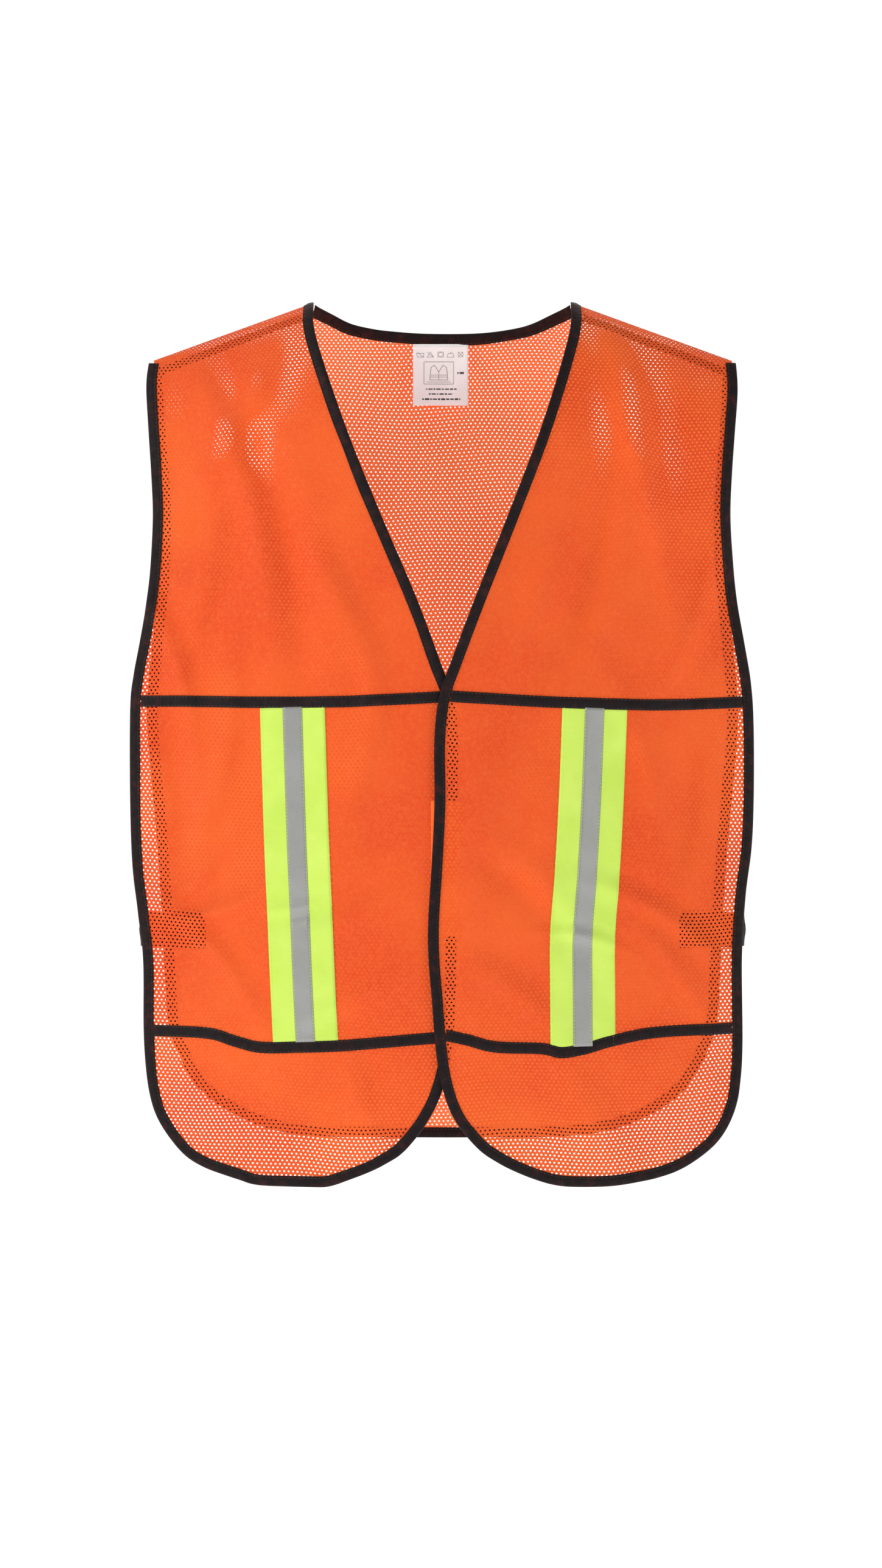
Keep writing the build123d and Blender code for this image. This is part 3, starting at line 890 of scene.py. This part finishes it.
cloths = {}
for side in ("right", "left"):
    name = f"{side}_front_mesh"
    cloths[side] = netCloth([name], side, frontOutline[side], [edges[side]], finishes["frontMesh"])[0]
backNames = ["right_back_mesh", "left_back_mesh"]
backRims = [edges["back"], edges["collar"]]
backPieces = netCloth(backNames, "back", backOutline, backRims, finishes["backMesh"])
cloths["backRight"], cloths["backLeft"] = backPieces
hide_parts("right_front_opening_panel", "right_front_shoulder_panel")
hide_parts("left_front_opening_panel", "left_front_shoulder_panel")
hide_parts("back_panel")
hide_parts("back_panel")
print("mesh cloth made")


# edge bindings: folded tapes with a rounded edge, pressed in along the stitching

bindingTape = {"width": 0.0082, "stitchIn": 0.0066, "outer": 0.0016, "inner": -0.0008}


def bindingSection(turn):
    # across is counted from the cut edge into the cloth; turn says on which side of the path the cloth lies
    wide, seam = bindingTape["width"], bindingTape["stitchIn"]
    top, under = bindingTape["outer"], bindingTape["inner"]
    half = [
        (wide - 0.0001, 0.00035), (wide, top * 0.62), (wide - 0.0004, top * 0.86),
        (seam + 0.0004, top * 0.80), (seam, top * 0.66), (seam - 0.0005, top * 0.86),
        (wide * 0.5, top * 1.04), (0.0012, top * 0.98), (0.0001, top * 0.66), (-0.0002, 0.0003),
        (0.0002, under * 0.6), (0.0012, under), (seam - 0.0004, under * 0.95),
        (seam, under * 0.62), (wide - 0.0003, under * 0.9), (wide, under * 0.5),
    ]
    return [(turn * a, o) for a, o in half]


for side, turn in (("right", -1), ("left", 1)):
    piece = ribbon(
        f"{side}_front_binding", side, edges[side], bindingSection(turn), finishes["binding"],
        step=0.0030, wobble=0.0005, seed=3 if side == "right" else 8,
    )
    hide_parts(f"{side}_opening_binding", f"{side}_neck_binding", f"{side}_armhole_binding")
    stitchRow(
        f"{side}_front_binding_stitches", side,
        [(edges[side], turn * bindingTape["stitchIn"], bindingTape["outer"] * 0.62)],
        finishes["darkThread"],
    )
for name, edge, node, seed in (
    ("back_edge_tape", "back", "back_edge_binding", 5),
    ("back_neck_tape", "collar", "back_neck_binding", 6),
):
    piece = ribbon(
        name, "back", edges[edge], bindingSection(1), finishes["binding"],
        step=0.0030, wobble=0.0004, seed=seed,
    )
    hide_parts(node)
    stitchRow(
        f"{name}_stitches", "back",
        [
            (edges[edge], bindingTape["stitchIn"], bindingTape["outer"] * 0.62),
            (edges[edge], bindingTape["stitchIn"], bindingTape["inner"] * 0.9),
        ],
        finishes["darkThread"],
    )
print("bindings made")


# narrow cross tapes at chest and waist

crossTape = {"half": 0.0044, "low": 0.0007, "top": 0.0013, "stitchIn": 0.0034}
crossPaths = {
    "left_chest_tape": ("left", [
        (-0.2383, 0.3782), (-0.190, 0.3775), (-0.150, 0.3765), (-0.080, 0.3765), (-0.020, 0.3790),
        (-0.0010, 0.3800),
    ]),
    "right_chest_tape": ("right", [
        (0.0062, 0.3805), (0.030, 0.3790), (0.091, 0.3760), (0.163, 0.3745), (0.210, 0.3760),
        (0.2370, 0.3775),
    ]),
    "left_waist_tape": ("left", [
        (-0.2280, 0.1184), (-0.1837, 0.1176), (-0.163, 0.1122), (-0.1418, 0.1076), (-0.112, 0.1085),
        (-0.0780, 0.1100), (-0.040, 0.1135), (-0.0005, 0.1170),
    ]),
    "right_waist_tape": ("right", [
        (0.0025, 0.1188), (0.020, 0.1150), (0.0410, 0.1095), (0.0776, 0.1078), (0.0919, 0.1045),
        (0.112, 0.1075), (0.1319, 0.1128), (0.1685, 0.1188), (0.2285, 0.1200),
    ]),
    "back_chest_tape": ("back", [
        (-0.2290, 0.3770), (-0.110, 0.3775), (0.0, 0.3785), (0.110, 0.3775), (0.2290, 0.3775),
    ]),
    "back_waist_tape": ("back", [
        (-0.2130, 0.1140), (-0.100, 0.1105), (0.0, 0.1110), (0.100, 0.1100), (0.2130, 0.1130),
    ]),
}


def crossSection():
    half, low, top, seam = (crossTape[k] for k in ("half", "low", "top", "stitchIn"))
    return [
        (-half, low), (-half, top * 0.85), (-seam - 0.0003, top), (-seam, top * 0.86), (-seam + 0.0003, top),
        (0, top * 1.05),
        (seam - 0.0003, top), (seam, top * 0.86), (seam + 0.0003, top), (half, top * 0.85), (half, low),
    ]


for name, (side, path) in crossPaths.items():
    line = smoothLine(path)
    piece = ribbon(
        f"{name}_weave", side, line, crossSection(), finishes["crossTape"], step=0.003
    )
    nodes = [name] if side == "back" or "waist" in name else [name, f"{name}_end"]
    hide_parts(*nodes)
    rows = [(line, s * crossTape["stitchIn"], crossTape["top"] * 0.86) for s in (1, -1)]
    stitchRow(f"{name}_stitches", side, rows, finishes["darkThread"])
print("cross tapes made")


# lime colour tapes with a silver strip down each

colourTape = {"half": 0.0255, "low": 0.0007, "top": 0.0011, "stitchIn": 0.0238}
silver = {"half": 0.0076, "low": 0.0010, "top": 0.0014, "stitchIn": 0.0068}
tapePaths = {
    "left_front": ("left", [
        (-0.1168, 0.3725), (-0.1152, 0.320), (-0.1132, 0.262),
        (-0.1112, 0.2166), (-0.1088, 0.160), (-0.1064, 0.1125),
    ]),
    "right_front": ("right", [
        (0.1183, 0.3718), (0.1160, 0.310), (0.1125, 0.245),
        (0.1088, 0.195), (0.1088, 0.150), (0.1090, 0.1090),
    ]),
    "left_back": ("back", [
        (-0.1090, 0.3735), (-0.1065, 0.240), (-0.1030, 0.1150),
    ]),
    "right_back": ("back", [
        (0.1090, 0.3735), (0.1065, 0.240), (0.1030, 0.1150),
    ]),
}


def stripSection(part, across):
    half = part["half"]
    places = [half * (-1 + 2 * k / across) for k in range(across + 1)]
    face = [(a, part["top"]) for a in places]
    behind = [(a, part["low"]) for a in reversed(places)]
    return face + behind


for name, (side, path) in tapePaths.items():
    line = smoothLine(path)
    lime = ribbon(f"{name}_lime_tape", side, line, stripSection(colourTape, 20), finishes["lime"])
    strip = ribbon(f"{name}_silver", side, line, stripSection(silver, 6), finishes["silver"])
    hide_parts(f"{name}_colour_tape")
    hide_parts(f"{name}_silver_strip")
    rows = [(line, s * colourTape["stitchIn"], colourTape["top"]) for s in (-1, 1)]
    rows += [(line, s * silver["stitchIn"], silver["top"]) for s in (-1, 1)]
    stitchRow(
        f"{name}_tape_stitches", side, rows, finishes["limeThread"],
        pitch=0.0026, long=0.0017, wide=0.00018,
    )
print("colour tapes made")


# closure strips

closure = {"foot": 0.195, "length": 0.105, "width": 0.020}
for name, side, start, low, high, finish, slot in (
    ("hook_pile", "right", -0.0060, -0.00080, 0.00015, "hooks", "hooks"),
    ("loop_pile", "left", -0.0090, 0.00165, 0.0023, "loops", "loops"),
):
    top = closure["foot"] + closure["length"]
    middle = start + closure["width"] / 2
    lean = 0.0025 if side == "right" else 0
    path = [
        (middle + lean, top),
        (middle, (top + closure["foot"]) / 2),
        (middle - 0.0015, closure["foot"]),
    ]
    strip = {"half": closure["width"] / 2, "low": low, "top": high}
    piece = ribbon(name, side, smoothLine(path), stripSection(strip, 8), finishes[finish])
    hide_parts("hook_strip" if side == "right" else "loop_strip")
print("closure strips made")


# seam tapes inside the shoulder seams

seam = {"near": 0.111, "far": 0.2235, "drop": 0.0115, "half": 0.0032}
for side, sign in (("right", 1), ("left", -1)):
    places = np.linspace(seam["near"], seam["far"], 12)
    path = np.stack([sign * places, ridgeAt(places) - seam["drop"]], axis=-1)
    strip = {"half": seam["half"], "low": -0.0007, "top": -0.0001}
    piece = ribbon(
        f"{side}_seam_tape", side, path, stripSection(strip, 4), finishes["seamTape"], step=0.003
    )
    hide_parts(f"{side}_shoulder_seam_tape")
print("seam tapes made")


# side elastics: a tab inside the front, a loop past the side edge, a tab inside the back

elastic = {
    "height": 0.197,
    "width": 0.026,
    "thick": 0.0012,
    "off": -0.0024,
    "bulge": 0.2405,  # how far from the middle its loop stands
    "stations": 72,
    "tabShare": 0.40,  # the share of its length in the tab inside the front
    "stationRun": 0.0018,
}
elasticRoute = {"front": (0.186, 0.198, 0.210, 0.222, 0.2325), "back": (0.2225, 0.212, 0.202, 0.194)}


def elasticLoop(sign):
    front = "right" if sign > 0 else "left"
    across = [elastic["width"] * (k / 8 - 0.5) for k in range(9)]
    lines = []
    for up in across:
        height = elastic["height"] + up
        points = [onCloth(front, sign * x, height, elastic["off"]) for x in elasticRoute["front"]]
        pinch = 0.0006 * math.cos(up * 300)
        for x, y in ((-0.0020, -0.013), (0, 0.001), (-0.0048, 0.0145)):
            points.append(np.array([sign * (elastic["bulge"] + x + pinch), y, height + hemLevel]))
        points += [onCloth("back", sign * x, height, elastic["off"]) for x in elasticRoute["back"]]
        lines.append(evenLine(smoothLine(np.array(points)), count=elastic["stations"])[0])
    lines = np.array(lines).transpose(1, 0, 2)
    ahead = np.gradient(lines, axis=0)
    outward = np.stack([ahead[..., 1], -ahead[..., 0], np.zeros(ahead.shape[:2])], axis=-1) * sign
    outward /= np.linalg.norm(outward, axis=2)[..., None]
    half = np.full(len(across), elastic["thick"] / 2)
    half[0] = half[-1] = elastic["thick"] * 0.28
    outer = lines + outward * half[None, :, None]
    inner = lines - outward * half[None, :, None]
    return np.concatenate([outer, inner[:, ::-1]], axis=1)


for side, sign in (("right", 1), ("left", -1)):
    rows = elasticLoop(sign)
    backStart = elastic["width"] + elastic["thick"]
    girth = np.concatenate([
        np.linspace(0, elastic["width"], 9),
        np.linspace(backStart, backStart + elastic["width"], 9),
    ])
    cut = int(elastic["stations"] * elastic["tabShare"])
    for name, part, first in (("tab", rows[: cut + 3], 0), ("loop", rows[cut:], cut)):
        run = (np.arange(len(part)) + first) * elastic["stationRun"]
        points, faces = ribbonMesh(part)
        uv = np.stack(np.broadcast_arrays(girth[None, :], run[:, None]), axis=-1).reshape(-1, 2)
        piece = makePiece(f"{side}_elastic_{name}", points, faces, finishes["elastic"], uv=uv)
        if name == "tab":
            hangOn(piece, side)
        else:
            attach(piece, "root")
        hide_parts(f"{side}_side_elastic")
print("elastics made")


# care label with generic marks only

label = {
    "width": 0.045,
    "length": 0.050,
    "thick": 0.00032,
    "columns": 24,
    "rows": 28,
    "curl": 0.0016,
    "ink": 0.00005,  # the print stands this far off the cloth
    "tuck": 0.0015,  # the top edge goes up under the collar binding
}
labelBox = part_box("care_label")
labelMiddle = (labelBox[0] + labelBox[1]) / 2
labelTop = Vector((labelMiddle.x, labelMiddle.y, labelBox[1].z + label["tuck"]))


def onLabel(across, down, off=0.0):
    # across and down in metres from the middle of the sewn edge; off towards the front
    droop = down / label["length"]
    side = across / label["width"] * 2
    curl = label["curl"] * (droop**2 * (0.35 + 0.65 * side**2) - 0.25 * side * droop)
    ripple = 0.00018 * math.sin(across * 300 + down * 90)
    return (labelTop.x + across, labelTop.y - curl - ripple - off, labelTop.z - down)


def makeLabel():
    points, faces = [], []
    columns, rows = label["columns"], label["rows"]
    for off in (label["thick"] / 2, -label["thick"] / 2):
        for r in range(rows + 1):
            for c in range(columns + 1):
                points.append(onLabel((c / columns - 0.5) * label["width"], r / rows * label["length"], off))
    wide = columns + 1
    under = wide * (rows + 1)
    for r in range(rows):
        for c in range(columns):
            n = r * wide + c
            faces.append([n, n + wide, n + wide + 1, n + 1])
            faces.append([under + n, under + n + 1, under + n + wide + 1, under + n + wide])
    rim = list(range(wide)) + [r * wide + columns for r in range(1, rows + 1)]
    rim += [rows * wide + c for c in range(columns - 1, -1, -1)]
    rim += [r * wide for r in range(rows - 1, 0, -1)]
    for a, b in zip(rim, rim[1:] + rim[:1]):
        faces.append([a, b, under + b, under + a])
    piece = makePiece("label_cloth", points, faces, finishes["satin"])
    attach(piece, "label")
    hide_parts("care_label")


marks = []  # strokes of print: (points across and down in millimetres, width in millimetres)


def stroke(*points, wide=0.28):
    marks.append((points, wide))


def loopStroke(cx, cy, rx, ry, wide=0.24, sides=14):
    turn = [2 * math.pi * k / sides for k in range(sides + 1)]
    stroke(*[(cx + rx * math.cos(a), cy + ry * math.sin(a)) for a in turn], wide=wide)


def washMarks(top, tall):
    x = [-16.5, -8.4, 0.0, 8.0, 16.2]
    low, mid = top + tall, top + tall / 2
    tub = [(-3, top + 1), (-2.4, low), (2.4, low), (3, top + 1), (-3, top + 1.2)]
    stroke(*[(x[0] + dx, y) for dx, y in tub])
    stroke((x[0] - 2.6, top), (x[0] + 2.6, low + 0.3))
    stroke((x[1] - 2.6, low), (x[1], top), (x[1] + 2.6, low), (x[1] - 2.6, low))
    stroke((x[1] - 2.6, top), (x[1] + 2.6, low))
    stroke((x[2] - 2.3, top), (x[2] + 2.3, top), (x[2] + 2.3, low), (x[2] - 2.3, low), (x[2] - 2.3, top))
    loopStroke(x[2], mid, 1.7, 1.7)
    iron = [(-3, low), (-1.8, top + 1.2), (2.4, top + 1.2), (2.9, low), (-3, low)]
    stroke(*[(x[3] + dx, y) for dx, y in iron])
    stroke((x[3] - 0.6, top + 1.2), (x[3] + 1.2, top))
    loopStroke(x[4], mid, 2.1, 2.1)
    stroke((x[4] - 2.2, top), (x[4] + 2.2, low))
    stroke((x[4] + 2.2, top), (x[4] - 2.2, low))


def garmentMark(cx, cy, wide, tall):
    w, t = wide / 2, tall / 2
    frame = [(-1, -1), (1, -1), (1, 1), (-1, 1), (-1, -1)]
    stroke(*[(cx + x * w, cy + y * t) for x, y in frame], wide=0.34)
    body = [
        (-0.30, -0.72), (-0.52, -0.50), (-0.62, 0.62), (0.62, 0.62),
        (0.52, -0.50), (0.30, -0.72), (0, -0.1), (-0.30, -0.72),
    ]
    stroke(*[(cx + x * w, cy + y * t) for x, y in body], wide=0.36)
    stroke((cx, cy - 0.1 * t), (cx, cy + 0.62 * t))
    for y in (0.18, 0.36):
        stroke((cx - 0.58 * w, cy + y * t), (cx + 0.58 * w, cy + y * t), wide=0.3)
    stroke((cx - 0.82 * w, cy + 0.82 * t), (cx + 0.82 * w, cy + 0.82 * t), wide=0.3)


def barLine(y, left, right, seed, tall=1.5):
    # a row of short bars where a real label has small print
    x, n = left, 0
    while x < right:
        size = 1.0 + 2.6 * abs(math.sin(seed * 3.1 + n * 1.7))
        stroke((x, y), (min(x + size, right), y), wide=tall * (0.55 + 0.25 * abs(math.cos(seed + n * 2.3))))
        x += size + 0.75
        n += 1


def printLabel():
    washMarks(6.4, 4.2)
    garmentMark(-1.5, 23.5, 24, 18)
    barLine(23.5, 13.5, 19.5, 1, 2.2)
    barLine(36.6, -12.0, 13.0, 2)
    barLine(40.6, -9.5, 9.5, 3)
    barLine(44.8, -15.0, 16.0, 4, 1.9)
    points, faces = [], []
    for line, wide in marks:
        for (ax, ay), (bx, by) in zip(line, line[1:]):
            long = math.hypot(bx - ax, by - ay)
            count = max(1, int(long / 1.5))
            nx, ny = (by - ay) / long * wide / 2, -(bx - ax) / long * wide / 2
            base = len(points)
            for k in range(count + 1):
                x, y = ax + (bx - ax) * k / count, ay + (by - ay) * k / count
                for s in (1, -1):
                    off = label["thick"] / 2 + label["ink"]
                    points.append(onLabel((x + s * nx) / 1000, (y + s * ny) / 1000, off))
            for k in range(count):
                n = base + 2 * k
                faces.append([n, n + 1, n + 3, n + 2])
    piece = makePiece("label_print", points, faces, finishes["ink"], smooth=False)
    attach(piece, "label")


def sewLabel():
    points, faces = [], []
    lens = (
        (-0.0010, 0, 0), (0, -0.0003, 0.0003), (0.0010, 0, 0), (0, 0.0003, 0.0003),
        (0, 0, 0.0005),  # the raised middle of a stitch
    )
    for k in range(17):
        middle = (k / 16 - 0.5) * label["width"] * 0.94
        base = len(points)
        for x, down, off in lens:
            points.append(onLabel(middle + x, 0.0018 + down, label["thick"] / 2 + off))
        faces += [[base + a, base + b, base + 4] for a, b in ((0, 3), (3, 2), (2, 1), (1, 0))]
    piece = makePiece("label_stitches", points, faces, finishes["whiteThread"])
    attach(piece, "label")


makeLabel()
printLabel()
sewLabel()
print("label made")
